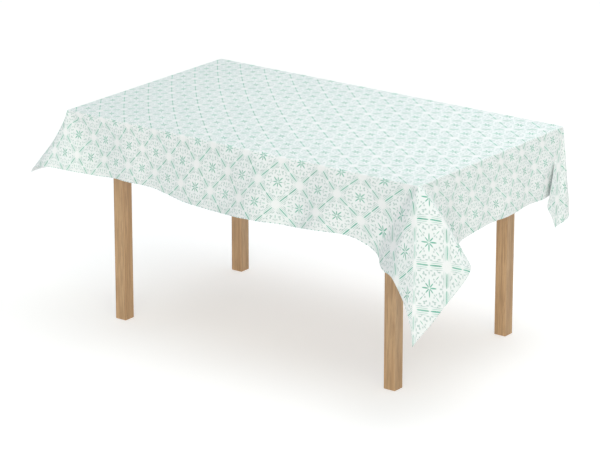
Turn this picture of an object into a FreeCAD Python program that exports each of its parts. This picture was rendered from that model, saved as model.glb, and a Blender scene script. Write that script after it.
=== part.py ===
"""A rectangular dining table with a cotton tablecloth draped over it.

Millimetres. The origin is on the floor, midway between the four feet. +Z is up, +X runs along
the table's long side, and -Y is the front. One STEP file is written for each named piece.
"""

import FreeCAD, Part
import math
import os

Vector = FreeCAD.Vector
UP = Vector(0, 0, 1)
OUT_DIR = "parts"

# Overall size, measured over the cloth.
COVERED_HEIGHT = 750.0
COVERED_LENGTH = 1465.0
COVERED_WIDTH = 850.0

# The cloth.
CLOTH_THICKNESS = 1.2
CLOTH_EDGE_GAP = 0.8
CLOTH_CORNER_RADIUS = 6.0
HEM_SAMPLES = 25
SHARPEST_MITRE = 0.35

# The table top.
TOP_THICKNESS = 25.0
TOP_CORNER_RADIUS = 5.0
TOP_EDGE_ROUND = 3.0
TOP_EDGE_EASE = 1.5

# The legs and the frame of rails (aprons) between them.
LEG_SIZE = 45.0
LEG_EDGE_ROUND = 2.0
FRAME_LENGTH = 1190.0
FRAME_WIDTH = 700.0
APRON_HEIGHT = 90.0
APRON_THICKNESS = 20.0
APRON_SETBACK = 5.0

# Nail-on glides under the legs.
GLIDE_RADIUS = 11.0
GLIDE_HEIGHT = 3.0
GLIDE_NAIL_RADIUS = 1.3
GLIDE_NAIL_LENGTH = 14.0

# Bent-steel corner braces that pull each leg into the frame.
BRACE_PLATE = 2.0
BRACE_HEIGHT = 50.0
BRACE_REACH = 80.0
BRACE_FLANGE = 40.0
BRACE_HOLE_RADIUS = 4.5
BRACE_SCREW_SPREAD = 15.0

# The hanger bolt through each brace, with its washer and wing nut.
BOLT_RADIUS = 4.0
BOLT_DEPTH_IN_LEG = 38.0
BOLT_BEYOND_NUT = 7.0
WASHER_RADIUS = 9.0
WASHER_THICKNESS = 1.6
NUT_HUB_RADIUS = 7.0
NUT_HUB_LENGTH = 9.0
NUT_WING_SPAN = 32.0
NUT_WING_THICKNESS = 3.0
NUT_WING_LENGTH = 13.0

# Angle brackets between the aprons and the top.
BRACKET_LEG = 25.0
BRACKET_WIDTH = 16.0
BRACKET_PLATE = 2.0
BRACKET_SPACING = 300.0

# Pan-head wood screws.
SCREW_SHANK_RADIUS = 1.75
SCREW_HEAD_RADIUS = 4.0
SCREW_HEAD_HEIGHT = 2.2
SCREW_LENGTH = 14.0

# Heights and places that follow from the sizes above.
CLOTH_UNDERSIDE = COVERED_HEIGHT - CLOTH_THICKNESS
TOP_UNDERSIDE = CLOTH_UNDERSIDE - TOP_THICKNESS
TOP_LENGTH = COVERED_LENGTH - 2 * (CLOTH_THICKNESS + CLOTH_EDGE_GAP)
TOP_WIDTH = COVERED_WIDTH - 2 * (CLOTH_THICKNESS + CLOTH_EDGE_GAP)
APRON_BOTTOM = TOP_UNDERSIDE - APRON_HEIGHT
APRON_INNER_X = FRAME_LENGTH / 2 - APRON_SETBACK - APRON_THICKNESS
APRON_INNER_Y = FRAME_WIDTH / 2 - APRON_SETBACK - APRON_THICKNESS
BRACE_MIDDLE = TOP_UNDERSIDE - APRON_HEIGHT / 2
LEG_CENTRE_X = (FRAME_LENGTH - LEG_SIZE) / 2
LEG_CENTRE_Y = (FRAME_WIDTH - LEG_SIZE) / 2

# Each corner of the table by name, with the signs of its X and Y.
CORNERS = {
    "front_left": (-1, -1),
    "front_right": (1, -1),
    "back_right": (1, 1),
    "back_left": (-1, 1),
}


# ---------------------------------------------------------------- small helpers

def cylinder(start, direction, radius, length):
    """A cylinder from a point, along a direction."""
    return Part.makeCylinder(radius, length, start, direction)


def block(centre_x, centre_y, size_x, size_y, bottom, top):
    """An upright box given by its middle in plan and its two heights."""
    corner = Vector(centre_x - size_x / 2, centre_y - size_y / 2, bottom)
    return Part.makeBox(size_x, size_y, top - bottom, corner)


def round_edges(solid, radius, wanted):
    """Round the edges of a solid that the test picks."""
    picked = [edge for edge in solid.Edges if wanted(edge)]
    return solid.makeFillet(radius, picked)


def is_upright(edge):
    """True for a straight edge along Z."""
    first, last = edge.Vertexes[0].Point, edge.Vertexes[-1].Point
    return math.hypot(first.x - last.x, first.y - last.y) < 0.01


def is_level(edge, height):
    """True for an edge that lies wholly at a height."""
    box = edge.BoundBox
    return abs(box.ZMin - height) < 0.01 and abs(box.ZMax - height) < 0.01


def screw(seat, direction):
    """A pan-head screw whose head sits on a seat and whose shank goes in along a direction."""
    shank = cylinder(seat, direction, SCREW_SHANK_RADIUS, SCREW_LENGTH)
    head = cylinder(seat, direction * -1, SCREW_HEAD_RADIUS, SCREW_HEAD_HEIGHT)
    rim = [edge for edge in head.Edges
           if abs((edge.CenterOfMass - seat).Length - SCREW_HEAD_HEIGHT) < 0.01]
    head = head.makeFillet(SCREW_HEAD_HEIGHT / 2, rim)
    return shank.fuse(head).removeSplitter()


def pilot_hole(seat, direction):
    """The hole that a screw's shank fills, from its seat to its tip."""
    return cylinder(seat, direction, SCREW_SHANK_RADIUS, SCREW_LENGTH)


def drilled(solid, holes):
    """A solid with a list of holes cut from it."""
    return solid.cut(Part.makeCompound(holes)) if holes else solid


# ---------------------------------------------------------------- places of the fasteners

def brace_origin(signs):
    """The point in plan where the inner faces of a corner's two aprons would meet."""
    return Vector(signs[0] * APRON_INNER_X, signs[1] * APRON_INNER_Y, BRACE_MIDDLE)


def inward(signs):
    """The level direction from a corner along its diagonal, into the frame."""
    return Vector(-signs[0], -signs[1], 0).normalize()


def brace_screw_seats(signs):
    """Seats and directions of the four screws of one corner brace."""
    origin = brace_origin(signs)
    along = BRACE_REACH + BRACE_FLANGE / 2
    seats = []
    for lift in (-BRACE_SCREW_SPREAD, BRACE_SCREW_SPREAD):
        on_long = Vector(-signs[0] * along, -signs[1] * BRACE_PLATE, lift)
        on_short = Vector(-signs[0] * BRACE_PLATE, -signs[1] * along, lift)
        seats.append((origin + on_long, Vector(0, signs[1], 0)))
        seats.append((origin + on_short, Vector(signs[0], 0, 0)))
    return seats


def bracket_places():
    """Foot points of the angle brackets on the aprons, with the way out to the apron."""
    places = []
    for side in (-1, 1):
        for step in (-1, 0, 1):
            foot = Vector(step * BRACKET_SPACING, side * APRON_INNER_Y, TOP_UNDERSIDE)
            places.append((foot, Vector(0, side, 0)))
        foot = Vector(side * APRON_INNER_X, 0, TOP_UNDERSIDE)
        places.append((foot, Vector(side, 0, 0)))
    return places


def bracket_screw_seats(place):
    """The two screws of one angle bracket: one into the apron, one up into the top."""
    foot, out = place
    middle = BRACKET_PLATE + (BRACKET_LEG - BRACKET_PLATE) / 2
    into_apron = foot - out * BRACKET_PLATE - UP * middle
    into_top = foot - out * middle - UP * BRACKET_PLATE
    return [(into_apron, out), (into_top, UP)]


def all_screws():
    """Every screw's seat and direction, for the pilot holes in the wood."""
    seats = []
    for signs in CORNERS.values():
        seats += brace_screw_seats(signs)
    for place in bracket_places():
        seats += bracket_screw_seats(place)
    return seats


# ---------------------------------------------------------------- the wooden table

def table_top():
    """The board, with rounded corners, eased edges and the brackets' pilot holes."""
    board = block(0, 0, TOP_LENGTH, TOP_WIDTH, TOP_UNDERSIDE, CLOTH_UNDERSIDE)
    board = round_edges(board, TOP_CORNER_RADIUS, is_upright)
    board = round_edges(board, TOP_EDGE_ROUND, lambda edge: is_level(edge, CLOTH_UNDERSIDE))
    board = round_edges(board, TOP_EDGE_EASE, lambda edge: is_level(edge, TOP_UNDERSIDE))
    holes = [pilot_hole(seat, way) for place in bracket_places()
             for seat, way in bracket_screw_seats(place) if way.z > 0.5]
    return drilled(board, holes)


def leg(signs):
    """One square leg, with eased edges, a bore for its hanger bolt and one for its glide."""
    centre_x, centre_y = signs[0] * LEG_CENTRE_X, signs[1] * LEG_CENTRE_Y
    post = block(centre_x, centre_y, LEG_SIZE, LEG_SIZE, GLIDE_HEIGHT, TOP_UNDERSIDE)
    post = round_edges(post, LEG_EDGE_ROUND, is_upright)
    nail = cylinder(Vector(centre_x, centre_y, GLIDE_HEIGHT), UP, GLIDE_NAIL_RADIUS,
                    GLIDE_NAIL_LENGTH)
    return drilled(post, [hanger_bolt(signs), nail])


def apron_long(side):
    """The front or back rail, between two legs."""
    centre_y = side * (APRON_INNER_Y + APRON_THICKNESS / 2)
    return block(0, centre_y, FRAME_LENGTH - 2 * LEG_SIZE, APRON_THICKNESS,
                 APRON_BOTTOM, TOP_UNDERSIDE)


def apron_short(side):
    """The left or right rail, between two legs."""
    centre_x = side * (APRON_INNER_X + APRON_THICKNESS / 2)
    return block(centre_x, 0, APRON_THICKNESS, FRAME_WIDTH - 2 * LEG_SIZE,
                 APRON_BOTTOM, TOP_UNDERSIDE)


def with_pilot_holes(apron):
    """An apron drilled for each screw that goes into it."""
    holes = [pilot_hole(seat, way) for seat, way in all_screws()
             if way.z < 0.5 and apron.isInside(seat + way * (SCREW_LENGTH / 2), 0.01, False)]
    return drilled(apron, holes)


def glide(signs):
    """A domed plastic disc under a leg, moulded on its nail."""
    foot = Vector(signs[0] * LEG_CENTRE_X, signs[1] * LEG_CENTRE_Y, 0)
    disc = cylinder(foot, UP, GLIDE_RADIUS, GLIDE_HEIGHT)
    sole = [edge for edge in disc.Edges if abs(edge.BoundBox.ZMax) < 0.01]
    disc = disc.makeFillet(GLIDE_HEIGHT / 2, sole)
    nail = cylinder(foot + UP * GLIDE_HEIGHT, UP, GLIDE_NAIL_RADIUS, GLIDE_NAIL_LENGTH)
    return disc.fuse(nail).removeSplitter()


# ---------------------------------------------------------------- the frame's hardware

def corner_brace(signs):
    """A bent plate across one corner, with a flange on each apron."""
    origin = brace_origin(signs)
    inner_bend = BRACE_REACH + BRACE_PLATE * (math.sqrt(2) - 1)
    tip = BRACE_REACH + BRACE_FLANGE
    outline = [
        (tip, 0), (BRACE_REACH, 0), (0, BRACE_REACH), (0, tip),
        (BRACE_PLATE, tip), (BRACE_PLATE, inner_bend), (inner_bend, BRACE_PLATE),
        (tip, BRACE_PLATE),
    ]
    points = [origin + Vector(-signs[0] * u, -signs[1] * v, -BRACE_HEIGHT / 2)
              for u, v in outline]
    face = Part.Face(Part.makePolygon(points + points[:1]))
    plate = face.extrude(UP * BRACE_HEIGHT)
    holes = [cylinder(origin, inward(signs), BRACE_HOLE_RADIUS, BRACE_REACH)]
    holes += [pilot_hole(seat, way) for seat, way in brace_screw_seats(signs)]
    return drilled(plate, holes)


def brace_face_distance():
    """How far along the diagonal the brace's inner face lies from the brace's origin."""
    return BRACE_REACH / math.sqrt(2) + BRACE_PLATE


def leg_edge_distance():
    """How far along the diagonal the leg's inner edge lies from the brace's origin."""
    return (APRON_INNER_X - (FRAME_LENGTH / 2 - LEG_SIZE)) * math.sqrt(2)


def hanger_bolt(signs):
    """The bolt from inside the leg, through the brace, to just past its wing nut."""
    start = leg_edge_distance() - BOLT_DEPTH_IN_LEG
    end = brace_face_distance() + WASHER_THICKNESS + NUT_HUB_LENGTH + BOLT_BEYOND_NUT
    way = inward(signs)
    return cylinder(brace_origin(signs) + way * start, way, BOLT_RADIUS, end - start)


def washer(signs):
    """The washer between brace and wing nut."""
    way = inward(signs)
    seat = brace_origin(signs) + way * brace_face_distance()
    disc = cylinder(seat, way, WASHER_RADIUS, WASHER_THICKNESS)
    return disc.cut(cylinder(seat, way, BOLT_RADIUS, WASHER_THICKNESS))


def wing_nut(signs):
    """The wing nut: a round hub with two rounded wings, bored for the bolt."""
    way = inward(signs)
    seat = brace_origin(signs) + way * (brace_face_distance() + WASHER_THICKNESS)
    hub = cylinder(seat, way, NUT_HUB_RADIUS, NUT_HUB_LENGTH)
    across = Vector(-way.y, way.x, 0)
    wing_radius = NUT_WING_LENGTH / 2
    wings = []
    for side in (-1, 1):
        middle = seat + across * side * (NUT_WING_SPAN / 2 - wing_radius)
        middle = middle + way * wing_radius - UP * (NUT_WING_THICKNESS / 2)
        wings.append(cylinder(middle, UP, wing_radius, NUT_WING_THICKNESS))
    nut = hub.multiFuse(wings).removeSplitter()
    return nut.cut(cylinder(seat - way, way, BOLT_RADIUS, NUT_WING_LENGTH + 2))


def top_bracket(place):
    """One steel angle, holding an apron to the underside of the top."""
    foot, out = place
    along = Vector(-out.y, out.x, 0)
    outline = [
        (0, 0), (BRACKET_LEG, 0), (BRACKET_LEG, BRACKET_PLATE),
        (BRACKET_PLATE, BRACKET_PLATE), (BRACKET_PLATE, BRACKET_LEG), (0, BRACKET_LEG),
    ]
    start = foot - along * (BRACKET_WIDTH / 2)
    points = [start - out * u - UP * v for u, v in outline]
    face = Part.Face(Part.makePolygon(points + points[:1]))
    angle = face.extrude(along * BRACKET_WIDTH)
    return drilled(angle, [pilot_hole(seat, way) for seat, way in bracket_screw_seats(place)])


# ---------------------------------------------------------------- the tablecloth

def hem_point(corner, out_x, out_y, drop):
    """A point of the hem: offsets outwards from a table corner, and down from the top."""
    sign_x, sign_y = CORNERS[corner]
    return Vector(sign_x * (COVERED_LENGTH / 2 + out_x), sign_y * (COVERED_WIDTH / 2 + out_y),
                  COVERED_HEIGHT - drop)


def hem_spans():
    """The hem, anticlockwise seen from above, in twelve spans.

    Each side has one span along its flap. Each corner has two, which meet in the pointed tip
    of the cloth's own corner. Every span ends where the next one starts.
    """
    front_left = [
        hem_point("front_left", 128, 50, 230),
        hem_point("front_left", 41, 93, 186),
        hem_point("front_left", 5, 88, 183),
        hem_point("front_left", -66, 63, 191),
        hem_point("front_left", -99, 41, 198),
        hem_point("front_left", -143, 18, 205),
        hem_point("front_left", -202, 3, 206),
    ]
    front = [
        hem_point("front_left", -202, 3, 206),
        hem_point("front_left", -286, 5, 206),
        hem_point("front_left", -410, 9, 210),
        hem_point("front_left", -484, 15, 222),
        hem_point("front_left", -640, 31, 227),
        hem_point("front_right", -732, 44, 225),
        hem_point("front_right", -624, 67, 215),
        hem_point("front_right", -569, 58, 215),
        hem_point("front_right", -525, 35, 218),
        hem_point("front_right", -489, 17, 224),
        hem_point("front_right", -418, 28, 216),
        hem_point("front_right", -338, 29, 210),
        hem_point("front_right", -255, 11, 215),
        hem_point("front_right", -195, 7, 232),
        hem_point("front_right", -158, 3, 253),
    ]
    front_right_near = [
        hem_point("front_right", -158, 3, 253),
        hem_point("front_right", -123, 36, 272),
        hem_point("front_right", -75, 73, 281),
        hem_point("front_right", -30, 105, 280),
        hem_point("front_right", 10, 119, 316),
        hem_point("front_right", 50, 136, 359),
        hem_point("front_right", 83, 156, 411),
        hem_point("front_right", 104, 175, 462),
    ]
    front_right_far = [
        hem_point("front_right", 104, 175, 462),
        hem_point("front_right", 120, 88, 403),
        hem_point("front_right", 134, 8, 345),
        hem_point("front_right", 145, -45, 305),
        hem_point("front_right", 144, -92, 266),
        hem_point("front_right", 80, -140, 252),
        hem_point("front_right", 18, -200, 246),
        hem_point("front_right", 9, -247, 239),
    ]
    right = [
        hem_point("front_right", 9, -247, 239),
        hem_point("front_right", 9, -340, 226),
        hem_point("front_right", 11, -440, 224),
        hem_point("back_right", 11, -273, 223),
        hem_point("back_right", 9, -196, 222),
        hem_point("back_right", 8, -116, 229),
    ]
    back_right_near = [
        hem_point("back_right", 8, -116, 229),
        hem_point("back_right", 14, -85, 291),
        hem_point("back_right", 20, -66, 335),
    ]
    back_right_far = [
        hem_point("back_right", 20, -66, 335),
        hem_point("back_right", 30, -24, 326),
        hem_point("back_right", 30, 8, 316),
        hem_point("back_right", 12, 28, 292),
        hem_point("back_right", -45, 28, 262),
        hem_point("back_right", -130, 12, 232),
    ]
    back = [
        hem_point("back_right", -130, 12, 232),
        hem_point("back_right", -330, 9, 228),
        hem_point("back_right", -560, 14, 233),
        hem_point("back_left", -600, 9, 230),
        hem_point("back_left", -370, 14, 229),
        hem_point("back_left", -150, 9, 233),
    ]
    back_left_far = [
        hem_point("back_left", -150, 9, 233),
        hem_point("back_left", -70, 20, 236),
        hem_point("back_left", 20, 60, 256),
        hem_point("back_left", 105, 105, 290),
    ]
    back_left_near = [
        hem_point("back_left", 105, 105, 290),
        hem_point("back_left", 60, 20, 256),
        hem_point("back_left", 20, -70, 236),
        hem_point("back_left", 9, -150, 233),
    ]
    left = [
        hem_point("back_left", 9, -150, 233),
        hem_point("back_left", 13, -300, 230),
        hem_point("front_left", 9, -330, 231),
        hem_point("front_left", 12, -230, 230),
    ]
    front_left_far = [
        hem_point("front_left", 12, -230, 230),
        hem_point("front_left", 35, -150, 224),
        hem_point("front_left", 92, -62, 221),
        hem_point("front_left", 128, 50, 230),
    ]
    return [front_left, front, front_right_near, front_right_far, right, back_right_near,
            back_right_far, back, back_left_far, back_left_near, left, front_left_far]


def smooth_edge(points):
    """One smooth edge through a row of points."""
    curve = Part.BSplineCurve()
    curve.interpolate(points)
    return curve.toShape()


def sampled(edge):
    """Evenly spread points along an edge, from its first end to its last."""
    return edge.discretize(Number=HEM_SAMPLES)


def outward_of(start, end, rim_point):
    """The level outward direction of the cloth between a step of the hem and the rim above."""
    normal = (end - start).cross(rim_point - start)
    return Vector(normal.x, normal.y, 0).normalize()


def inset_loop(hem, rim, distance):
    """The hem's closed loop of points moved level, inwards, by the cloth's thickness."""
    moved = []
    for index, point in enumerate(hem):
        before = outward_of(hem[index - 1], point, rim[index])
        after = outward_of(point, hem[(index + 1) % len(hem)], rim[index])
        middle = (before + after).normalize()
        reach = distance / max(middle.dot(before), SHARPEST_MITRE)
        moved.append(point - middle * reach)
    return moved


def inner_hem_edges(outer_hem, outer_rim):
    """The inner side of each hem span, one cloth thickness inside the outer side."""
    hem = []
    rim = []
    for hem_edge, rim_edge in zip(outer_hem, outer_rim):
        hem += sampled(hem_edge)[:-1]
        rim += sampled(rim_edge)[:-1]
    moved = inset_loop(hem, rim, CLOTH_THICKNESS)
    step = HEM_SAMPLES - 1
    edges = []
    for index in range(len(outer_hem)):
        span = [moved[(index * step + count) % len(moved)] for count in range(HEM_SAMPLES)]
        edges.append(smooth_edge(span))
    return edges


def rim_edges(inset, height):
    """The rounded rectangle round the table's edge, in twelve edges that match the hem."""
    half_x = COVERED_LENGTH / 2 - inset
    half_y = COVERED_WIDTH / 2 - inset
    radius = CLOTH_CORNER_RADIUS - inset
    order = ["front_left", "front_right", "back_right", "back_left"]
    edges = []
    ends = []
    for turn, corner in enumerate(order):
        sign_x, sign_y = CORNERS[corner]
        centre = Vector(sign_x * (half_x - radius), sign_y * (half_y - radius), height)
        first = math.radians(180 + 90 * turn)
        at = [centre + Vector(math.cos(first + math.radians(angle)),
                              math.sin(first + math.radians(angle)), 0) * radius
              for angle in (0, 22.5, 45, 67.5, 90)]
        ends.append(at)
    for turn, at in enumerate(ends):
        following = ends[(turn + 1) % 4]
        edges.append(Part.Arc(at[2], at[3], at[4]).toShape())
        edges.append(Part.LineSegment(at[4], following[0]).toShape())
        edges.append(Part.Arc(following[0], following[1], following[2]).toShape())
    return edges


def panel(first, second):
    """The ruled face between two edges that run the same way."""
    same_way = 1
    return Part.makeRuledSurface(first, second, same_way)


def tablecloth():
    """The cloth as one thin closed solid: a flat top, four flaps and four folded corners."""
    outer_hem = [smooth_edge(span) for span in hem_spans()]
    outer_rim = rim_edges(0, COVERED_HEIGHT)
    inner_hem = inner_hem_edges(outer_hem, outer_rim)
    inner_rim = rim_edges(CLOTH_THICKNESS, CLOTH_UNDERSIDE)
    faces = [Part.Face(Part.Wire(outer_rim)), Part.Face(Part.Wire(inner_rim))]
    for index in range(len(outer_hem)):
        faces.append(panel(outer_rim[index], outer_hem[index]))
        faces.append(panel(inner_rim[index], inner_hem[index]))
        faces.append(panel(outer_hem[index], inner_hem[index]))
    shell = Part.makeCompound(faces)
    shell.sewShape()
    solid = Part.makeSolid(Part.makeShell(shell.Faces))
    if solid.Volume < 0:
        solid.reverse()
    return solid


# ---------------------------------------------------------------- all pieces

def build():
    """Every piece of the table and its cloth, by name."""
    pieces = {"tablecloth": tablecloth(), "table_top": table_top()}
    for name, signs in CORNERS.items():
        pieces["leg_" + name] = leg(signs)
        pieces["glide_" + name] = glide(signs)
        pieces["corner_brace_" + name] = corner_brace(signs)
    for name, side in (("front", -1), ("back", 1)):
        pieces["apron_" + name] = with_pilot_holes(apron_long(side))
    for name, side in (("left", -1), ("right", 1)):
        pieces["apron_" + name] = with_pilot_holes(apron_short(side))
    corners = list(CORNERS.values())
    pieces["hanger_bolts"] = Part.makeCompound([hanger_bolt(signs) for signs in corners])
    pieces["washers"] = Part.makeCompound([washer(signs) for signs in corners])
    pieces["wing_nuts"] = Part.makeCompound([wing_nut(signs) for signs in corners])
    pieces["brace_screws"] = Part.makeCompound(
        [screw(seat, way) for signs in corners for seat, way in brace_screw_seats(signs)])
    pieces["top_brackets"] = Part.makeCompound([top_bracket(place) for place in bracket_places()])
    pieces["bracket_screws"] = Part.makeCompound(
        [screw(seat, way) for place in bracket_places()
         for seat, way in bracket_screw_seats(place)])
    return pieces


def main():
    os.makedirs(OUT_DIR, exist_ok=True)
    for name, shape in build().items():
        if not shape.isValid():
            raise RuntimeError(name + " is not a valid shape")
        shape.exportStep(os.path.join(OUT_DIR, name + ".step"))
        box = shape.BoundBox
        print(f"{name}: {len(shape.Solids)} solid(s), volume {shape.Volume / 1000:.1f} cm3, "
              f"x {box.XMin:.0f}..{box.XMax:.0f} y {box.YMin:.0f}..{box.YMax:.0f} "
              f"z {box.ZMin:.0f}..{box.ZMax:.0f}")


main()
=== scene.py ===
"""A table under a printed cotton tablecloth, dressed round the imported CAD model.

Metres, in the CAD model's own frame: the origin is on the floor midway between the feet, +X
runs along the table, -Y is its front and +Z is up. The cloth is described by the flat sheet
it was cut from: u runs along its length and v across its width, both from its middle.
"""

import math

import bpy
import numpy as np
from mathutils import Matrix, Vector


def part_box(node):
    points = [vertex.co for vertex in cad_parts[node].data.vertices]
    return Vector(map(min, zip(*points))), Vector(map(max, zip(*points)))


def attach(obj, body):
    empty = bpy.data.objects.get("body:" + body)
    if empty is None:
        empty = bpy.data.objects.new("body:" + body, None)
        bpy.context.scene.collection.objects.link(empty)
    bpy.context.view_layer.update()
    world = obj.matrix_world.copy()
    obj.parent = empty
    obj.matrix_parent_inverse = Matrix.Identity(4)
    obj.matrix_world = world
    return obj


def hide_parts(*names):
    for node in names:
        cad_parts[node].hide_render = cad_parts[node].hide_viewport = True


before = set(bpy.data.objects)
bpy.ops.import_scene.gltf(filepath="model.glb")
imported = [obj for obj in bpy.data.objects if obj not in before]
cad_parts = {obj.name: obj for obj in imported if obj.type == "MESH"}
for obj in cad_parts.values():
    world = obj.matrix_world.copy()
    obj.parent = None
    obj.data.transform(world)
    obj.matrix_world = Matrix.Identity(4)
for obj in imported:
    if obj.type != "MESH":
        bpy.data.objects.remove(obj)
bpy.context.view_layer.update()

MM = 0.001

# The covered table, from the board and the cloth that lies 2 mm outside its edges.
BOARD_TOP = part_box("table_top")[1]
CLOTH_STANDOFF = 2.0 * MM
HALF_X = BOARD_TOP.x + CLOTH_STANDOFF
HALF_Y = BOARD_TOP.y + CLOTH_STANDOFF
TOP_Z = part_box("tablecloth")[1].z

# The flat sheet.
OVERHANG = 0.235
HALF_U = HALF_X + OVERHANG
HALF_V = HALF_Y + OVERHANG
CLOTH_THICKNESS = 0.9 * MM
HEM_THICKNESS = 1.9 * MM
HEM_WIDTH = 12.0 * MM
HEM_STEP = 0.6 * MM

# How softly the cloth turns, over the table's edge and in its hanging folds.
EDGE_SOFTNESS = 3.2 * MM
FOLD_SOFTNESS = 13.0 * MM
SOFTENING_REACH = 0.09

# The simulation that adds small waves to the hanging cloth: its grid, its length in frames, how
# much the cloth grows, how stiff it is, how far a point may move, and the share of the overhang
# above which it doesn't and over which it comes in.
SETTLE_CELL = 14.0 * MM
SETTLE_FRAMES = 20
SETTLE_GROWTH = 0.005
SETTLE_BENDING = 2.0
SETTLE_CAP = 4.0 * MM
SETTLE_FADE_FROM = 0.08
SETTLE_FADE_OVER = 0.4
SETTLE_STRETCH_STIFFNESS = 20
SETTLE_SHEAR_STIFFNESS = 8

# Small waves of the hanging cloth: mm high, radians per metre along the hem, radians over the
# drop, and the shift from one side of the cloth to the next.
RIPPLES = (
    (1.6, 21, 3, 1.7),
    (1.0, 37, -4, 0.9),
    (0.5, 71, 6, 2.3),
)

# The lockstitch along the hem.
STITCH_FROM_EDGE = 9.5 * MM
STITCH_PITCH = 3.0 * MM
STITCH_LENGTH = 2.3 * MM
STITCH_RADIUS = 0.27 * MM
SEAM_GROOVE_WIDTH = 2.2 * MM

# The print's repeat across the cloth, at its middle and its growth per metre towards the right,
# where it is nearly twice that at the left; the repeat behind and in front of the front edge;
# where a star lies; and where the print begins to skew near the right end, and how fast.
REPEAT_MIDDLE = 0.142
REPEAT_GROWTH = 0.058
REPEAT_ON_TOP = 0.130
REPEAT_DOWN_FRONT = 0.160
STAR_U = -0.025
STAR_V = -0.4325
SKEW_FROM_U = 0.69
SKEW_RATE = 3.5

# The weave, thread to thread.
WARP_PITCH = 1.1 * MM
WEFT_PITCH = 1.2 * MM

# The studio: how brightly the floor and the surround glow, how wide each lamp is, and the camera.
FLOOR_REACH = 40.0
FLOOR_GLOW = 0.57
HORIZON_GLOW = 0.44
ZENITH_GLOW = 0.06
OVERHEAD_WIDTH = math.radians(70)
SIDE_WIDTH = math.radians(28)
CAMERA_PLACE = (6.2185, -8.3586, 3.7511)
CAMERA_TURN = (1.25683, 0.0, 0.64386)
CAMERA_LENS = 191.73
CAMERA_SENSOR = 36.0

CORNERS = {
    "front_left": (-1, -1),
    "front_right": (1, -1),
    "back_right": (1, 1),
    "back_left": (-1, 1),
}


# ---------------------------------------------------------------- the hem in the air

def hem_point(corner, out_x, out_y, drop):
    """A point of the hem: mm outwards from a table corner along X and Y, and mm below the top."""
    sign_x, sign_y = CORNERS[corner]
    return (sign_x * (HALF_X + out_x * MM), sign_y * (HALF_Y + out_y * MM), TOP_Z - drop * MM)


# The cloth's four tips, and between them each side's hem in three stretches: the fold that
# fans out from the first corner, the flap that hangs straight down, and the second fold.
TIPS = {
    "front_left": hem_point("front_left", 128, 50, 230),
    "front_right": hem_point("front_right", 104, 175, 462),
    "back_right": hem_point("back_right", 20, -66, 335),
    "back_left": hem_point("back_left", 105, 105, 290),
}
SIDES = {
    "front": {
        "from": "front_left",
        "to": "front_right",
        "first_fold": [
            hem_point("front_left", 41, 93, 186),
            hem_point("front_left", 5, 88, 183),
            hem_point("front_left", -66, 63, 191),
            hem_point("front_left", -99, 41, 198),
            hem_point("front_left", -143, 18, 205),
        ],
        "flap": [
            hem_point("front_left", -202, 3, 206),
            hem_point("front_left", -286, 5, 206),
            hem_point("front_left", -410, 9, 210),
            hem_point("front_left", -484, 15, 222),
            hem_point("front_left", -640, 31, 227),
            hem_point("front_right", -732, 44, 225),
            hem_point("front_right", -624, 67, 215),
            hem_point("front_right", -569, 58, 215),
            hem_point("front_right", -525, 35, 218),
            hem_point("front_right", -489, 17, 224),
            hem_point("front_right", -418, 28, 216),
            hem_point("front_right", -338, 29, 210),
            hem_point("front_right", -255, 11, 215),
            hem_point("front_right", -195, 7, 232),
            hem_point("front_right", -158, 3, 253),
        ],
        "second_fold": [
            hem_point("front_right", -123, 36, 272),
            hem_point("front_right", -75, 73, 281),
            hem_point("front_right", -30, 105, 280),
            hem_point("front_right", 10, 119, 316),
            hem_point("front_right", 50, 136, 359),
            hem_point("front_right", 83, 156, 411),
        ],
    },
    "right": {
        "from": "front_right",
        "to": "back_right",
        "first_fold": [
            hem_point("front_right", 120, 88, 403),
            hem_point("front_right", 134, 8, 345),
            hem_point("front_right", 145, -45, 305),
            hem_point("front_right", 144, -92, 266),
            hem_point("front_right", 80, -140, 252),
            hem_point("front_right", 18, -200, 246),
        ],
        "flap": [
            hem_point("front_right", 9, -247, 239),
            hem_point("front_right", 9, -340, 226),
            hem_point("front_right", 11, -440, 224),
            hem_point("back_right", 11, -273, 223),
            hem_point("back_right", 9, -196, 222),
            hem_point("back_right", 5, -116, 229),
        ],
        "second_fold": [
            hem_point("back_right", -16, -42, 236),
            hem_point("back_right", 10, -104, 252),
            hem_point("back_right", 14, -85, 291),
        ],
    },
    "back": {
        "from": "back_right",
        "to": "back_left",
        "first_fold": [
            hem_point("back_right", 30, -24, 326),
            hem_point("back_right", 30, 8, 316),
            hem_point("back_right", 12, 28, 292),
            hem_point("back_right", -45, 18, 262),
        ],
        "flap": [
            hem_point("back_right", -130, 12, 232),
            hem_point("back_right", -330, 9, 228),
            hem_point("back_right", -560, 14, 233),
            hem_point("back_left", -600, 9, 230),
            hem_point("back_left", -370, 14, 229),
            hem_point("back_left", -170, 9, 232),
        ],
        "second_fold": [
            hem_point("back_left", -95, -22, 236),
            hem_point("back_left", -10, 42, 250),
            hem_point("back_left", 60, 90, 272),
        ],
    },
    "left": {
        "from": "back_left",
        "to": "front_left",
        "first_fold": [
            hem_point("back_left", 90, 60, 272),
            hem_point("back_left", 42, -10, 250),
            hem_point("back_left", -22, -95, 236),
        ],
        "flap": [
            hem_point("back_left", 9, -170, 232),
            hem_point("back_left", 13, -300, 230),
            hem_point("front_left", 9, -330, 231),
            hem_point("front_left", 12, -230, 230),
        ],
        "second_fold": [
            hem_point("front_left", -18, -150, 228),
            hem_point("front_left", 45, -105, 220),
            hem_point("front_left", 100, -58, 224),
        ],
    },
}

# How the outward swing grows down the drop: in step with the fall at 0, later above it and
# sooner below it.
FLAP_FLARE = -0.25
TIP_FLARE = {"front_left": 0.5, "front_right": 0.0, "back_right": 0.1, "back_left": 0.3}

# Each side in flat terms: which way it faces, and which way one walks along it.
SIDE_FACING = {"front": (0, -1), "right": (1, 0), "back": (0, 1), "left": (-1, 0)}


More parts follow.
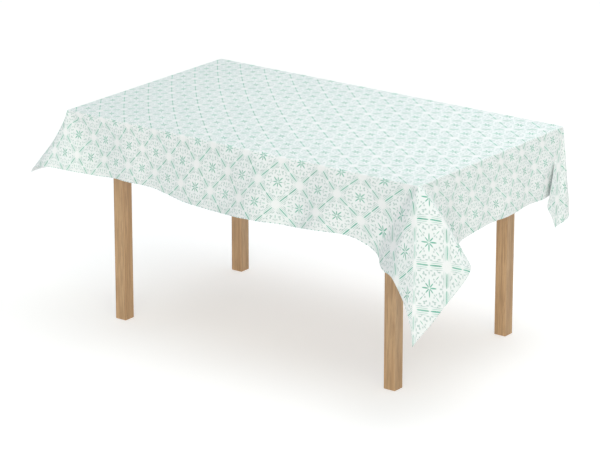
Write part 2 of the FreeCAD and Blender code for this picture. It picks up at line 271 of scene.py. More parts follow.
class Spline:
    """A smooth curve through points at rising knots: a natural cubic in each coordinate."""

    def __init__(self, knots, points):
        self.knots = np.array(knots)
        self.points = np.array(points)
        steps = np.diff(self.knots)
        count = len(self.knots)
        system = np.eye(count)
        right = np.zeros((count, self.points.shape[1]))
        slopes = np.diff(self.points, axis=0) / steps[:, None]
        for row in range(1, count - 1):
            system[row, row - 1] = steps[row - 1]
            system[row, row] = 2 * (steps[row - 1] + steps[row])
            system[row, row + 1] = steps[row]
            right[row] = 6 * (slopes[row] - slopes[row - 1])
        self.bends = np.linalg.solve(system, right)

    def at(self, places):
        """The curve's points at an array of places."""
        last = len(self.knots) - 2
        index = np.clip(np.searchsorted(self.knots, places) - 1, 0, last)
        step = self.knots[index + 1] - self.knots[index]
        after = ((places - self.knots[index]) / step)[..., None]
        before = 1 - after
        step = step[..., None]
        line = before * self.points[index] + after * self.points[index + 1]
        bend = (before ** 3 - before) * self.bends[index] + (after ** 3 - after) * self.bends[index + 1]
        return line + bend * step ** 2 / 6


class Side:
    """One side of the cloth: its hem as a curve over the flat sheet's own coordinate."""

    def __init__(self, name):
        spec = SIDES[name]
        self.facing = np.array(SIDE_FACING[name], float)
        self.along = np.array((-self.facing[1], self.facing[0]))
        half_along = HALF_U if self.along[0] else HALF_V
        self.half_edge = HALF_X if self.along[0] else HALF_Y
        self.edge = HALF_Y if self.along[0] else HALF_X
        start, end = TIPS[spec["from"]], TIPS[spec["to"]]
        flap = [float(np.dot(point[:2], self.along)) for point in spec["flap"]]
        first = [start] + spec["first_fold"] + spec["flap"][:1]
        second = spec["flap"][-1:] + spec["second_fold"] + [end]
        knots = spread(first, -half_along, flap[0])[:-1] + flap
        knots += spread(second, flap[-1], half_along)[1:]
        points = first[:-1] + spec["flap"] + second[1:]
        self.hem = Spline(knots, points)
        self.fold_ends = (flap[0], flap[-1])
        self.flare_places = (-half_along, flap[0], flap[-1], half_along)
        self.flares = (TIP_FLARE[spec["from"]], FLAP_FLARE, FLAP_FLARE, TIP_FLARE[spec["to"]])


def spread(points, first, last):
    """Knots for points, from first to last, in proportion to the distance between them."""
    path = np.concatenate([[0], np.cumsum(np.linalg.norm(np.diff(points, axis=0), axis=1))])
    return list(first + (last - first) * path / path[-1])


# ---------------------------------------------------------------- from the flat sheet to the drape

def hanging(side, hem_place, edge_place, fall):
    """The cloth between a point of the table's edge and a point of the hem.

    fall runs from 0 at the edge to 1 at the hem. Where the hem lies inside the table's edge
    the cloth first hangs straight and then curves in, so that it clears the board.
    """
    hem = side.hem.at(hem_place)
    edge = np.empty_like(hem)
    edge[:, :2] = edge_place[:, None] * side.along + side.edge * side.facing
    edge[:, 2] = TOP_Z
    swing = fall ** (1 + np.interp(hem_place, side.flare_places, side.flares))
    point = edge + (hem - edge) * np.stack([swing, swing, fall], axis=1)
    inward = np.minimum(hem[:, :2] @ side.facing - side.edge, 0)
    correction = inward * (fall ** 2 - swing)
    point[:, :2] += correction[:, None] * side.facing
    return point


def sharp_drape(sides, flat):
    """The drape before its folds are softened, for an array of flat points."""
    result = np.empty((len(flat), 3))
    result[:, :2] = flat
    result[:, 2] = TOP_Z
    drops = {}
    for name, side in sides.items():
        drops[name] = (flat @ side.facing - side.edge) / OVERHANG
    names = list(sides)
    table = np.array([drops[name] for name in names])
    owner = np.argmax(table, axis=0)
    for index, name in enumerate(names):
        side = sides[name]
        mine = (owner == index) & (table[index] > 0)
        if not mine.any():
            continue
        fall = table[index][mine]
        place = flat[mine] @ side.along
        low = -side.half_edge + (side.fold_ends[0] + side.half_edge) * fall
        high = side.half_edge + (side.fold_ends[1] - side.half_edge) * fall
        share = (place - low) / (high - low)
        inside = np.clip(share, 0, 1)
        hem_place = side.fold_ends[0] + inside * (side.fold_ends[1] - side.fold_ends[0])
        edge_place = side.half_edge * (2 * inside - 1)
        before, after = share < 0, share > 1
        corner = np.where(before, -side.half_edge, side.half_edge)
        fanned = corner + (place - corner) / fall
        hem_place = np.where(before | after, fanned, hem_place)
        result[mine] = hanging(side, hem_place, edge_place, fall)
    return result


def soft_drape(sides, flat):
    """The drape with its folds rounded, by averaging it over a small disc round each point."""
    past_edge = np.maximum(np.abs(flat[:, 0]) - HALF_X, np.abs(flat[:, 1]) - HALF_Y)
    softening = np.clip(past_edge / SOFTENING_REACH, 0, 1)
    softening = softening * softening * (3 - 2 * softening)
    radius = EDGE_SOFTNESS + (FOLD_SOFTNESS - EDGE_SOFTNESS) * softening
    total = sharp_drape(sides, flat) * 2
    weight = 2.0
    for ring, spokes, share in ((0.4, 6, 1.0), (0.75, 8, 0.8), (1.0, 12, 0.35)):
        for spoke in range(spokes):
            angle = 2 * math.pi * (spoke + ring) / spokes
            shift = radius[:, None] * ring * np.array((math.cos(angle), math.sin(angle)))
            total += sharp_drape(sides, flat + shift) * share
            weight += share
    return total / weight


def graded(half_edge, half_sheet):
    """Grid lines across one direction of the sheet: close at the table's edge and at the hem."""
    stretches = [
        (0, half_edge - 0.03, 0.018),
        (half_edge - 0.03, half_edge - 0.007, 0.005),
        (half_edge - 0.007, half_edge + 0.007, 0.0014),
        (half_edge + 0.007, half_edge + 0.03, 0.004),
        (half_edge + 0.03, half_sheet - HEM_WIDTH - HEM_STEP, 0.006),
        (half_sheet - HEM_WIDTH - HEM_STEP, half_sheet - HEM_WIDTH, HEM_STEP),
        (half_sheet - HEM_WIDTH, half_sheet - 0.001, 0.0037),
        (half_sheet - 0.001, half_sheet, 0.001),
    ]
    lines = [0.0]
    for start, end, step in stretches:
        count = max(1, round((end - start) / step))
        lines += list(start + (end - start) * np.arange(1, count + 1) / count)
    lines = np.array(lines)
    return np.concatenate([-lines[:0:-1], lines])


def ripple(flat, normals):
    """Small sine waves of the hanging cloth, none on the top, and a faint pucker at the hem."""
    past_u = np.abs(flat[..., 0]) - HALF_X
    past_v = np.abs(flat[..., 1]) - HALF_Y
    past = np.maximum(past_u, past_v)
    fall = np.clip(past / OVERHANG, 0, 1)
    walk = np.where(past_v > past_u, flat[..., 0], flat[..., 1])
    turn = np.where(past_v > past_u, np.sign(flat[..., 1]), 2 * np.sign(flat[..., 0]))
    wave = 0
    for size, along, lean, shift in RIPPLES:
        wave = wave + size * np.sin(along * walk + lean * fall + shift * turn)
    pucker = 0.28 * np.sin(160 * walk + turn) + 0.2 * np.sin(263 * walk)
    near_hem = np.clip(1 - (OVERHANG - past) / 0.03, 0, 1)
    height = (wave * fall + pucker * near_hem) * MM
    return normals * height[..., None]


def settling_lines(half_edge, half_sheet):
    """Even grid lines for the simulation, with one on the table's edge at each end."""
    inner = round(2 * half_edge / SETTLE_CELL)
    outer = round((half_sheet - half_edge) / SETTLE_CELL)
    overhang = np.linspace(half_edge, half_sheet, outer + 1)[1:]
    top = np.linspace(-half_edge, half_edge, inner + 1)
    return np.concatenate([-overhang[::-1], top, overhang])


def simulated_shift(lines_u, lines_v, start):
    """How far each point of a coarse grid moves when the cloth grows a little, held on the table
    top and without gravity or collision, and so buckles into small waves."""
    rows, columns = start.shape[:2]
    piece = mesh_object("settling_cloth", start.reshape(-1, 3),
                        grid_faces(rows, columns, 0, False), [])
    held = piece.vertex_groups.new(name="held")
    on_top = np.logical_and.outer(np.abs(lines_u) < HALF_X + MM, np.abs(lines_v) < HALF_Y + MM)
    held.add([int(index) for index in np.flatnonzero(on_top)], 1.0, "REPLACE")
    cloth = piece.modifiers.new("cloth", "CLOTH")
    settings = cloth.settings
    settings.quality = 6
    settings.mass = 0.15
    settings.tension_stiffness = SETTLE_STRETCH_STIFFNESS
    settings.compression_stiffness = SETTLE_STRETCH_STIFFNESS
    settings.shear_stiffness = SETTLE_SHEAR_STIFFNESS
    settings.bending_stiffness = SETTLE_BENDING
    settings.air_damping = 4
    settings.shrink_min = -SETTLE_GROWTH
    settings.vertex_group_mass = "held"
    settings.effector_weights.gravity = 0
    cloth.collision_settings.use_collision = False
    cloth.point_cache.frame_start = 1
    cloth.point_cache.frame_end = SETTLE_FRAMES
    scene = bpy.context.scene
    for step in range(1, SETTLE_FRAMES + 1):
        scene.frame_set(step)
    settled = piece.evaluated_get(bpy.context.evaluated_depsgraph_get()).to_mesh()
    finish = np.empty(rows * columns * 3)
    settled.vertices.foreach_get("co", finish)
    scene.frame_set(1)
    mesh = piece.data
    bpy.data.objects.remove(piece)
    bpy.data.meshes.remove(mesh)
    return finish.reshape(start.shape) - start


def settle(sides, lines_u, lines_v, points):
    """Adds the simulated waves to the fine grid: none at the table's edge, and capped everywhere."""
    coarse_u = settling_lines(HALF_X, HALF_U)
    coarse_v = settling_lines(HALF_Y, HALF_V)
    flat = np.stack(np.meshgrid(coarse_u, coarse_v, indexing="ij"), axis=2)
    start = soft_drape(sides, flat.reshape(-1, 2)).reshape(flat.shape[:2] + (3,))
    shift = simulated_shift(coarse_u, coarse_v, start)
    length = np.linalg.norm(shift, axis=2, keepdims=True)
    shift = shift * SETTLE_CAP / np.maximum(length, SETTLE_CAP)
    past = np.maximum(np.abs(flat[..., 0]) - HALF_X, np.abs(flat[..., 1]) - HALF_Y)
    share = np.clip((past / OVERHANG - SETTLE_FADE_FROM) / SETTLE_FADE_OVER, 0, 1)
    shift = shift * (share * share * (3 - 2 * share))[..., None]
    wide = Spline(coarse_u, shift.reshape(len(coarse_u), -1)).at(lines_u)
    wide = wide.reshape(len(lines_u), len(coarse_v), 3).transpose(1, 0, 2)
    fine = Spline(coarse_v, wide.reshape(len(coarse_v), -1)).at(lines_v)
    return points + fine.reshape(len(lines_v), len(lines_u), 3).transpose(1, 0, 2)


def grid_normals(points):
    """Unit normals of a grid of points, to the outer side of the cloth."""
    along = np.gradient(points, axis=0)
    across = np.gradient(points, axis=1)
    normals = np.cross(along, across)
    return normals / np.linalg.norm(normals, axis=2, keepdims=True)


def draped_grid():
    """The cloth's outer face as a grid: its flat lines, its points and its normals."""
    sides = {name: Side(name) for name in SIDES}
    lines_u = graded(HALF_X, HALF_U)
    lines_v = graded(HALF_Y, HALF_V)
    flat = np.stack(np.meshgrid(lines_u, lines_v, indexing="ij"), axis=2)
    points = soft_drape(sides, flat.reshape(-1, 2)).reshape(flat.shape[:2] + (3,))
    points = settle(sides, lines_u, lines_v, points)
    points = points + ripple(flat, grid_normals(points))
    return lines_u, lines_v, points


# ---------------------------------------------------------------- meshes

def mesh_object(name, points, faces, materials):
    """A smooth-shaded mesh object with its materials."""
    mesh = bpy.data.meshes.new(name)
    mesh.from_pydata([tuple(point) for point in points], [], faces)
    mesh.update()
    for polygon in mesh.polygons:
        polygon.use_smooth = True
    for material in materials:
        mesh.materials.append(material)
    piece = bpy.data.objects.new(name, mesh)
    bpy.context.scene.collection.objects.link(piece)
    return piece


def grid_faces(rows, columns, first, flip):
    """The quads of a grid of vertices that starts at an index."""
    faces = []
    for row in range(rows - 1):
        for column in range(columns - 1):
            corner = first + row * columns + column
            quad = (corner, corner + columns, corner + columns + 1, corner + 1)
            faces.append(quad[::-1] if flip else quad)
    return faces


def border_indices(rows, columns):
    """The vertices round a grid's border, in order."""
    ring = [row * columns for row in range(rows)]
    ring += [(rows - 1) * columns + column for column in range(1, columns)]
    ring += [row * columns + columns - 1 for row in range(rows - 2, -1, -1)]
    ring += [column for column in range(columns - 2, 0, -1)]
    return ring


def cloth_mesh(lines_u, lines_v, points, outside, inside):
    """The closed sheet: outer face, inner face with its turned hem, and the edge between."""
    rows, columns = points.shape[:2]
    normals = grid_normals(points)
    to_edge = np.minimum.outer(HALF_U - np.abs(lines_u), HALF_V - np.abs(lines_v))
    thickness = np.where(to_edge < HEM_WIDTH + HEM_STEP / 2, HEM_THICKNESS, CLOTH_THICKNESS)
    thickness = np.where(to_edge < 0.5 * MM, CLOTH_THICKNESS, thickness)
    inner = points - normals * thickness[..., None]
    count = rows * columns
    faces = grid_faces(rows, columns, 0, False)
    outer_faces = len(faces)
    faces += grid_faces(rows, columns, count, True)
    ring = border_indices(rows, columns)
    for index, vertex in enumerate(ring):
        after = ring[(index + 1) % len(ring)]
        faces.append((after, vertex, vertex + count, after + count))
    corners = np.concatenate([points.reshape(-1, 3), inner.reshape(-1, 3)])
    piece = mesh_object("printed_tablecloth", corners, faces, [outside, inside])
    for polygon in piece.data.polygons:
        polygon.material_index = 1 if outer_faces <= polygon.index < 2 * outer_faces else 0
    flat = np.stack(np.meshgrid(lines_u, lines_v, indexing="ij"), axis=2).reshape(-1, 2)
    flat = np.concatenate([flat, flat])
    layer = piece.data.uv_layers.new(name="flat")
    loops = np.empty(len(piece.data.loops), int)
    piece.data.loops.foreach_get("vertex_index", loops)
    layer.data.foreach_set("uv", flat[loops].ravel())
    return piece


def on_grid(lines_u, lines_v, grid, flat):
    """Values of a grid between its lines, for an array of flat points."""
    row = np.clip(np.searchsorted(lines_u, flat[:, 0]) - 1, 0, len(lines_u) - 2)
    column = np.clip(np.searchsorted(lines_v, flat[:, 1]) - 1, 0, len(lines_v) - 2)
    part_u = ((flat[:, 0] - lines_u[row]) / (lines_u[row + 1] - lines_u[row]))[:, None]
    part_v = ((flat[:, 1] - lines_v[column]) / (lines_v[column + 1] - lines_v[column]))[:, None]
    low = grid[row, column] * (1 - part_u) + grid[row + 1, column] * part_u
    high = grid[row, column + 1] * (1 - part_u) + grid[row + 1, column + 1] * part_u
    return low * (1 - part_v) + high * part_v


def seam_line():
    """Flat points along the stitching, one for each stitch's two ends."""
    seam_u = HALF_U - STITCH_FROM_EDGE
    seam_v = HALF_V - STITCH_FROM_EDGE
    corners = np.array([(-seam_u, -seam_v), (seam_u, -seam_v), (seam_u, seam_v), (-seam_u, seam_v)])
    starts, ends = [], []
    for index, corner in enumerate(corners):
        following = corners[(index + 1) % 4]
        length = np.linalg.norm(following - corner)
        way = (following - corner) / length
        for count in range(int(length / STITCH_PITCH)):
            start = corner + way * count * STITCH_PITCH
            starts.append(start)
            ends.append(start + way * STITCH_LENGTH)
    return np.array(starts), np.array(ends)


def stitching(lines_u, lines_v, points, thread):
    """The lockstitch seam of the hem, each stitch a short round thread that dips at its ends."""
    normals = grid_normals(points)
    starts, ends = seam_line()
    rings, around = 5, 6
    corners, faces = [], []
    begin = on_grid(lines_u, lines_v, points, starts)
    finish = on_grid(lines_u, lines_v, points, ends)
    raised = on_grid(lines_u, lines_v, normals, (starts + ends) / 2)
    for start, end, up in zip(begin, finish, raised):
        way = (end - start) / np.linalg.norm(end - start)
        across = np.cross(up, way)
        first = len(corners)
        for ring in range(rings):
            part = ring / (rings - 1)
            arch = math.sin(math.pi * part)
            middle = start + (end - start) * part + up * STITCH_RADIUS * (1.3 * arch - 0.5)
            radius = STITCH_RADIUS * (0.55 + 0.45 * arch)
            for spoke in range(around):
                angle = 2 * math.pi * spoke / around
                corners.append(middle + (across * math.cos(angle) + up * math.sin(angle)) * radius)
        for ring in range(rings - 1):
            for spoke in range(around):
                a = first + ring * around + spoke
                b = first + ring * around + (spoke + 1) % around
                faces.append((a, b, b + around, a + around))
        faces.append(tuple(first + spoke for spoke in reversed(range(around))))
        faces.append(tuple(first + (rings - 1) * around + spoke for spoke in range(around)))
    return mesh_object("hem_stitching", corners, faces, [thread])


# ---------------------------------------------------------------- materials

class Shader:
    """A node material that is written as expressions."""

    def __init__(self, name, roughness, metallic=0.0):
        self.material = bpy.data.materials.new(name)
        self.material.use_nodes = True
        self.tree = self.material.node_tree
        self.surface = self.tree.nodes["Principled BSDF"]
        self.surface.inputs["Roughness"].default_value = roughness
        self.surface.inputs["Metallic"].default_value = metallic

    def node(self, kind, **settings):
        made = self.tree.nodes.new(kind)
        for key, value in settings.items():
            setattr(made, key, value)
        return made

    def feed(self, socket, value):
        """Links a socket, or sets it to a plain value."""
        if isinstance(value, bpy.types.NodeSocket):
            self.tree.links.new(value, socket)
        else:
            socket.default_value = value

    def math(self, operation, *values, clamp=False):
        made = self.node("ShaderNodeMath", operation=operation, use_clamp=clamp)
        for socket, value in zip(made.inputs, values):
            self.feed(socket, value)
        return made.outputs[0]

    def mix(self, share, first, second):
        made = self.node("ShaderNodeMix", data_type="RGBA")
        self.feed(made.inputs[0], share)
        self.feed(made.inputs[6], first)
        self.feed(made.inputs[7], second)
        return made.outputs[2]

    def flat_coordinates(self):
        """The place on the flat sheet, as u and v in metres."""
        source = self.node("ShaderNodeUVMap", uv_map="flat")
        parts = self.node("ShaderNodeSeparateXYZ")
        self.feed(parts.inputs[0], source.outputs[0])
        return source.outputs[0], parts.outputs[0], parts.outputs[1]

    def object_coordinates(self, scale=(1, 1, 1)):
        source = self.node("ShaderNodeTexCoord")
        mapping = self.node("ShaderNodeMapping")
        self.feed(mapping.inputs["Vector"], source.outputs["Object"])
        mapping.inputs["Scale"].default_value = scale
        return mapping.outputs[0]

    def noise(self, vector, scale, detail=2.0, roughness=0.5, distortion=0.0):
        made = self.node("ShaderNodeTexNoise")
        self.feed(made.inputs["Vector"], vector)
        made.inputs["Scale"].default_value = scale
        made.inputs["Detail"].default_value = detail
        made.inputs["Roughness"].default_value = roughness
        made.inputs["Distortion"].default_value = distortion
        return made.outputs["Fac"]

    def band(self, value, low, high):
        """0 below low, 1 above high, and a smooth step between."""
        made = self.node("ShaderNodeMapRange", interpolation_type="SMOOTHSTEP")
        self.feed(made.inputs["Value"], value)
        made.inputs["From Min"].default_value = low
        made.inputs["From Max"].default_value = high
        return made.outputs[0]

    def bump(self, height, strength, distance):
        made = self.node("ShaderNodeBump")
        made.inputs["Strength"].default_value = strength
        made.inputs["Distance"].default_value = distance
        self.feed(made.inputs["Height"], height)
        self.feed(self.surface.inputs["Normal"], made.outputs[0])


def leaf(shader, along, across, middle, offset, half_length, half_width, softness=3.0,
         bluntness=2.0):
    """A leaf mark, pointed or blunt: 1 inside, 0 outside, with a soft printed edge."""
    lengthways = shader.math("ABSOLUTE", shader.math("SUBTRACT", along, middle))
    tapered = shader.math("POWER", shader.math("DIVIDE", lengthways, half_length), bluntness)
    sideways = shader.math("ABSOLUTE", shader.math("SUBTRACT", across, offset))
    sideways = shader.math("DIVIDE", sideways, half_width)
    inside = shader.math("SUBTRACT", 1.0, shader.math("ADD", tapered, sideways))
    return shader.math("MULTIPLY", inside, softness, clamp=True)


def dot(shader, x, y, middle_x, middle_y, radius, softness=3.0):
    """A round mark."""
    across = shader.math("SUBTRACT", x, middle_x)
    up = shader.math("SUBTRACT", y, middle_y)
    squared = shader.math("ADD", shader.math("MULTIPLY", across, across),
                          shader.math("MULTIPLY", up, up))
    distance = shader.math("DIVIDE", shader.math("SQRT", squared), radius)
    return shader.math("MULTIPLY", shader.math("SUBTRACT", 1.0, distance), softness, clamp=True)


def star_lattice(shader, u, v):
    """How much bold and how much faint ink the print lays at a place, and how bare it is near
    a crossing: an eight-petalled star in each tile of a diagonal lattice, framed by tapered
    dashes, with small leaves and dots between."""
    grown = shader.math("MULTIPLY_ADD", u, REPEAT_GROWTH, REPEAT_MIDDLE)
    origin = math.log(REPEAT_MIDDLE + REPEAT_GROWTH * STAR_U) / REPEAT_GROWTH
    across = shader.math("DIVIDE", shader.math("LOGARITHM", grown, math.e), REPEAT_GROWTH)
    across = shader.math("SUBTRACT", across, origin)
    behind = shader.math("SUBTRACT", v, STAR_V)
    on_top = shader.math("DIVIDE", shader.math("MAXIMUM", behind, 0.0), REPEAT_ON_TOP)
    in_front = shader.math("DIVIDE", shader.math("MINIMUM", behind, 0.0), REPEAT_DOWN_FRONT)
    down = shader.math("ADD", on_top, in_front)
    past = shader.math("MAXIMUM", shader.math("SUBTRACT", u, SKEW_FROM_U), 0.0)
    skew = shader.math("MULTIPLY", past, SKEW_RATE)
    rising = shader.math("ADD", across, down)
    falling = shader.math("ADD", shader.math("SUBTRACT", across, down), skew)
    x = shader.math("PINGPONG", rising, 0.5)
    y = shader.math("PINGPONG", falling, 0.5)
    far = shader.math("MAXIMUM", x, y)
    near = shader.math("MINIMUM", x, y)
    diagonal = shader.math("MULTIPLY", shader.math("ADD", far, near), math.sqrt(0.5))
    beside = shader.math("MULTIPLY", shader.math("SUBTRACT", far, near), math.sqrt(0.5))
    bold = [
        (1.0, leaf(shader, far, near, 0.116, 0.0, 0.100, 0.019, 3.5, 3.0)),
        (1.0, leaf(shader, diagonal, beside, 0.086, 0.0, 0.074, 0.017, 3.5, 3.0)),
        (1.0, leaf(shader, near, far, 0.190, 0.500, 0.180, 0.020, 3.5, 6.0)),
        (0.60, leaf(shader, near, far, 0.215, 0.450, 0.180, 0.009, 3.5, 5.0)),
        (0.80, leaf(shader, diagonal, beside, 0.330, 0.0, 0.070, 0.013)),
    ]
    faint = [
        (1.0, leaf(shader, near, far, 0.235, 0.410, 0.190, 0.010)),
        (1.0, leaf(shader, near, far, 0.280, 0.360, 0.060, 0.020)),
        (1.0, leaf(shader, near, far, 0.150, 0.300, 0.055, 0.017)),
        (1.0, dot(shader, far, near, 0.285, 0.095, 0.027)),
        (1.0, dot(shader, far, near, 0.335, 0.150, 0.028)),
        (1.0, dot(shader, far, near, 0.400, 0.230, 0.024)),
        (0.9, leaf(shader, far, near, 0.335, 0.0, 0.050, 0.024)),
        (0.9, leaf(shader, near, far, 0.060, 0.385, 0.050, 0.018)),
        (0.9, leaf(shader, diagonal, beside, 0.215, 0.0, 0.045, 0.020)),
        (0.9, dot(shader, far, near, 0.200, 0.130, 0.024)),
    ]
    node = shader.math("MULTIPLY", dot(shader, x, y, 0.5, 0.5, 0.30, 1.2), 0.45)
    return laid_ink(shader, bold), laid_ink(shader, faint), node


def laid_ink(shader, marks):
    """The strongest of several marks at a place."""
    ink = 0.0
    for strength, mark in marks:
        ink = shader.math("MAXIMUM", ink, shader.math("MULTIPLY", mark, strength))
    return ink


def seam_groove(shader, u, v):
    """How deep the stitching draws the cloth in, as a share of the bump's unit."""
    beside_u = shader.math("SUBTRACT", HALF_U, shader.math("ABSOLUTE", u))
    beside_v = shader.math("SUBTRACT", HALF_V, shader.math("ABSOLUTE", v))
    to_edge = shader.math("MINIMUM", beside_u, beside_v)
    off_seam = shader.math("ABSOLUTE", shader.math("SUBTRACT", to_edge, STITCH_FROM_EDGE))
    near = shader.math("SUBTRACT", 1.0, shader.math("DIVIDE", off_seam, SEAM_GROOVE_WIDTH))
    return shader.math("MULTIPLY", shader.math("MAXIMUM", near, 0.0), 3.0)


def printed_cotton(name, print_strength):
    """Plain-weave cotton, white with a mint print that sinks unevenly into the threads."""
    shader = Shader(name, roughness=0.86)
    flat, u, v = shader.flat_coordinates()
    bold, faint, bare = star_lattice(shader, u, v)
    bleed = shader.band(shader.noise(flat, 900.0, 2.0), 0.25, 0.60)
    patchy = shader.band(shader.noise(flat, 38.0, 3.0), 0.2, 0.7)
    worn = shader.math("MULTIPLY", shader.math("MULTIPLY_ADD", bleed, 0.20, 0.80),
                       shader.math("MULTIPLY_ADD", patchy, 0.22, 0.78))
    worn = shader.math("MULTIPLY", worn, print_strength)
    ground = shader.mix(shader.band(shader.noise(flat, 6.0, 3.0), 0.3, 0.7),
                        (0.790, 0.840, 0.850, 1), (0.832, 0.870, 0.880, 1))
    ground = shader.mix(bare, ground, (0.865, 0.870, 0.885, 1))
    mint = shader.mix(shader.band(shader.noise(flat, 14.0, 2.0), 0.3, 0.7),
                      (0.045, 0.350, 0.240, 1), (0.085, 0.450, 0.330, 1))
    colour = shader.mix(shader.math("MULTIPLY", shader.math("MULTIPLY", faint, worn), 0.75),
                        ground, (0.300, 0.460, 0.435, 1))
    colour = shader.mix(shader.math("MULTIPLY", bold, worn), colour, mint)
    warp = shader.math("SINE", shader.math("MULTIPLY", u, 2 * math.pi / WARP_PITCH))
    weft = shader.math("SINE", shader.math("MULTIPLY", v, 2 * math.pi / WEFT_PITCH))
    weave = shader.math("MULTIPLY", warp, weft)
    slub = shader.math("MULTIPLY", shader.noise(flat, 420.0, 3.0, 0.6), 1.4)
    threads = shader.math("ADD", shader.math("MULTIPLY", weave, 0.5), slub)
    threads = shader.math("SUBTRACT", threads, seam_groove(shader, u, v))
    shade = shader.math("MULTIPLY_ADD", weave, 0.02, 0.98)
    tint = shader.node("ShaderNodeVectorMath", operation="SCALE")
    shader.feed(tint.inputs[0], colour)
    shader.feed(tint.inputs["Scale"], shade)
    shader.feed(shader.surface.inputs["Base Color"], tint.outputs[0])
    shader.bump(threads, 0.25, 0.0003)
    shader.surface.inputs["Sheen Weight"].default_value = 0.25
    shader.surface.inputs["Sheen Roughness"].default_value = 0.5
    shader.surface.inputs["Specular IOR Level"].default_value = 0.25
    return shader.material


def sewing_thread():
    """Mercerised white thread with a fine twist."""
    shader = Shader("sewing_thread", roughness=0.6)
    place = shader.object_coordinates()
    twist = shader.noise(place, 2500.0, 1.0)
    colour = shader.mix(twist, (0.74, 0.80, 0.77, 1), (0.88, 0.92, 0.90, 1))
    shader.feed(shader.surface.inputs["Base Color"], colour)
    shader.bump(twist, 0.3, 0.0001)
    return shader.material


def oak(name, grain, pale, dark):
    """Light oak: fine straight grain along one axis, soft bands, pores and a satin varnish."""
    shader = Shader(name, roughness=0.42)
    slow, fast = 1.4, 34.0
    scale = tuple(slow if axis == grain else fast for axis in range(3))
    stretched = shader.object_coordinates(scale)
    figure = shader.noise(stretched, 1.6, 3.0, 0.55, 0.35)
    grain_lines = shader.noise(stretched, 7.0, 4.0, 0.6)
    pores = shader.band(shader.noise(stretched, 26.0, 2.0, 0.6), 0.56, 0.70)
    colour = shader.mix(shader.band(figure, 0.32, 0.68), pale, dark)
    deeper = tuple(channel * 0.78 for channel in dark[:3]) + (1,)
    colour = shader.mix(shader.math("MULTIPLY", shader.band(grain_lines, 0.42, 0.66), 0.80),
                        colour, deeper)
    pore_colour = tuple(channel * 0.5 for channel in dark[:3]) + (1,)
    colour = shader.mix(shader.math("MULTIPLY", pores, 0.35), colour, pore_colour)
    shader.feed(shader.surface.inputs["Base Color"], colour)
    gloss = shader.math("MULTIPLY_ADD", grain_lines, 0.22, 0.34)
    shader.feed(shader.surface.inputs["Roughness"], gloss)
    height = shader.math("SUBTRACT", shader.math("MULTIPLY", grain_lines, 0.5), pores)
    shader.bump(height, 0.3, 0.0003)
    return shader.material


def zinc_steel():
    """Zinc-plated steel: dull, slightly blotched, with fine drawn marks."""
    shader = Shader("zinc_plated_steel", roughness=0.4, metallic=1.0)
    place = shader.object_coordinates()
    blotches = shader.noise(place, 55.0, 4.0)
    drawn = shader.noise(shader.object_coordinates((1, 1, 14)), 160.0, 2.0)
    colour = shader.mix(blotches, (0.42, 0.43, 0.44, 1), (0.66, 0.66, 0.65, 1))
    shader.feed(shader.surface.inputs["Base Color"], colour)
    shader.feed(shader.surface.inputs["Roughness"], shader.math("MULTIPLY_ADD", blotches, 0.3, 0.28))
    shader.bump(drawn, 0.2, 0.0002)
    return shader.material


def nylon():
    """Off-white nylon, scuffed dull underfoot."""
    shader = Shader("glide_nylon", roughness=0.5)
    scuffs = shader.noise(shader.object_coordinates(), 320.0, 5.0, 0.7)
    colour = shader.mix(scuffs, (0.56, 0.54, 0.48, 1), (0.80, 0.79, 0.74, 1))
    shader.feed(shader.surface.inputs["Base Color"], colour)
    shader.feed(shader.surface.inputs["Roughness"], shader.math("MULTIPLY_ADD", scuffs, 0.4, 0.3))
    shader.bump(scuffs, 0.25, 0.0002)
    return shader.material


def studio_floor():
    """Pale matt paper that gives off a little light, like the top of a photographer's table."""
    shader = Shader("floor_paper", roughness=0.95)
    mottled = shader.noise(shader.object_coordinates(), 3.0, 2.0)
    colour = shader.mix(mottled, (0.52, 0.52, 0.52, 1), (0.54, 0.54, 0.54, 1))
    shader.feed(shader.surface.inputs["Base Color"], colour)
    shader.surface.inputs["Specular IOR Level"].default_value = 0.0
    shader.surface.inputs["Emission Color"].default_value = (1.0, 1.0, 1.0, 1)
    shader.surface.inputs["Emission Strength"].default_value = FLOOR_GLOW
    return shader.material


def dress_frame():
    """Gives each piece of the CAD model its finish."""
    pale, dark = (0.560, 0.366, 0.196, 1), (0.435, 0.262, 0.128, 1)
    grains = {axis: oak("oak_grain_" + "xyz"[axis], axis, pale, dark) for axis in range(3)}
    board = oak("board_oak", 0, (0.60, 0.42, 0.25, 1), (0.50, 0.33, 0.18, 1))
    steel, plastic = zinc_steel(), nylon()
    for name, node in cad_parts.items():
        if name.startswith("leg_"):
            finish = grains[2]
        elif name in ("apron_front", "apron_back"):
            finish = grains[0]
        elif name in ("apron_left", "apron_right"):
            finish = grains[1]
        elif name == "table_top":
            finish = board
        elif name.startswith("glide_"):
            finish = plastic
        else:
            finish = steel
        if not node.material_slots:
            node.data.materials.append(finish)
        for place in node.material_slots:
            place.material = finish


# ---------------------------------------------------------------- floor, lights and camera

def add_floor():
    """A wide pale floor under the feet."""
    cells = 8
    step = 2 * FLOOR_REACH / cells
    points = [(-FLOOR_REACH + step * i, -FLOOR_REACH + step * j, 0.0)
              for i in range(cells + 1) for j in range(cells + 1)]
    faces = grid_faces(cells + 1, cells + 1, 0, False)
    floor = mesh_object("studio_floor", points, faces, [studio_floor()])


def aim(thing, target):
    """Turns a light or a camera to look at a point."""
    way = np.array(target) - np.array(thing.location)
    turn_z = math.atan2(way[1], way[0]) - math.pi / 2
    turn_x = math.atan2(way[2], math.hypot(way[0], way[1])) + math.pi / 2
    thing.rotation_euler = (turn_x, 0, turn_z)


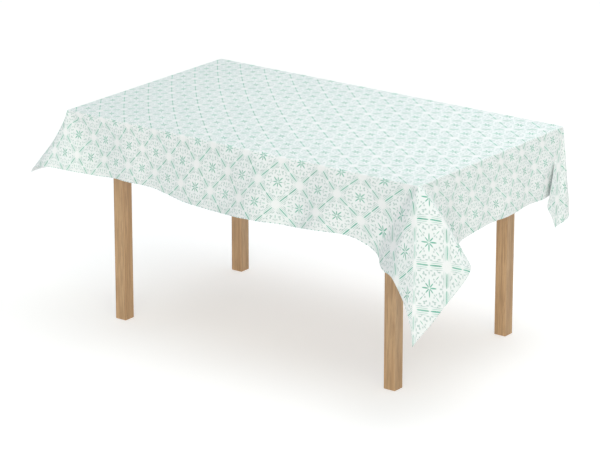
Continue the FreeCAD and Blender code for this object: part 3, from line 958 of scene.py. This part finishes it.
def add_light(name, kind, place, target, power, colour, **shape):
    """One lamp, aimed at a point."""
    lamp = bpy.data.lights.new(name, kind)
    lamp.energy = power
    lamp.color = colour
    for key, value in shape.items():
        setattr(lamp, key, value)
    light = bpy.data.objects.new(name, lamp)
    light.location = place
    bpy.context.scene.collection.objects.link(light)
    aim(light, target)


def pale_surround():
    """A surround that is bright along the horizon and dimmer overhead."""
    world = bpy.data.worlds.new("pale_surround")
    world.use_nodes = True
    nodes, links = world.node_tree.nodes, world.node_tree.links
    way = nodes.new("ShaderNodeTexCoord")
    parts = nodes.new("ShaderNodeSeparateXYZ")
    ramp = nodes.new("ShaderNodeMapRange")
    ramp.interpolation_type = "SMOOTHSTEP"
    ramp.inputs["From Min"].default_value = 0.04
    ramp.inputs["From Max"].default_value = 0.30
    ramp.inputs["To Min"].default_value = HORIZON_GLOW
    ramp.inputs["To Max"].default_value = ZENITH_GLOW
    background = nodes["Background"]
    background.inputs["Color"].default_value = (0.97, 0.99, 1.0, 1)
    links.new(way.outputs["Generated"], parts.inputs[0])
    links.new(parts.outputs["Z"], ramp.inputs["Value"])
    links.new(ramp.outputs[0], background.inputs["Strength"])
    return world


def add_studio():
    """A pale surround, a broad light from above, two from the front right, and a soft box."""
    bpy.context.scene.world = pale_surround()
    add_light("overhead", "SUN", (0, 0.3, 5.4), (0, 0, 0), 2.05, (0.92, 0.98, 1.0),
              angle=OVERHEAD_WIDTH)
    add_light("front_light", "SUN", (4.8, -8.3, 2.7), (0, 0, 0), 1.04, (1.0, 0.98, 0.94),
              angle=SIDE_WIDTH)
    add_light("side_light", "SUN", (8.0, -5.4, 5.5), (0, 0, 0), 0.50, (1.0, 0.91, 0.62),
              angle=SIDE_WIDTH)
    add_light("soft_box", "AREA", (0.9, 0.4, 2.7), (0.5, 0.1, 0.75), 17.0, (1.0, 1.0, 1.0),
              size=1.5)
    bpy.context.scene.view_settings.view_transform = "Standard"


def add_camera():
    """The camera, from the front right and a little above."""
    lens = bpy.data.cameras.new("camera")
    lens.lens = CAMERA_LENS
    lens.sensor_width = CAMERA_SENSOR
    camera = bpy.data.objects.new("camera", lens)
    camera.location = CAMERA_PLACE
    camera.rotation_euler = CAMERA_TURN
    bpy.context.scene.collection.objects.link(camera)
    bpy.context.scene.camera = camera


# ---------------------------------------------------------------- the whole scene

add_camera()
add_studio()
add_floor()
dress_frame()

lines_u, lines_v, points = draped_grid()
cloth = cloth_mesh(lines_u, lines_v, points, printed_cotton("printed_cotton", 1.0),
                   printed_cotton("printed_cotton_back", 0.4))
stitches = stitching(lines_u, lines_v, points, sewing_thread())
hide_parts("tablecloth")
for piece in (cloth, stitches):
    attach(piece, "root")
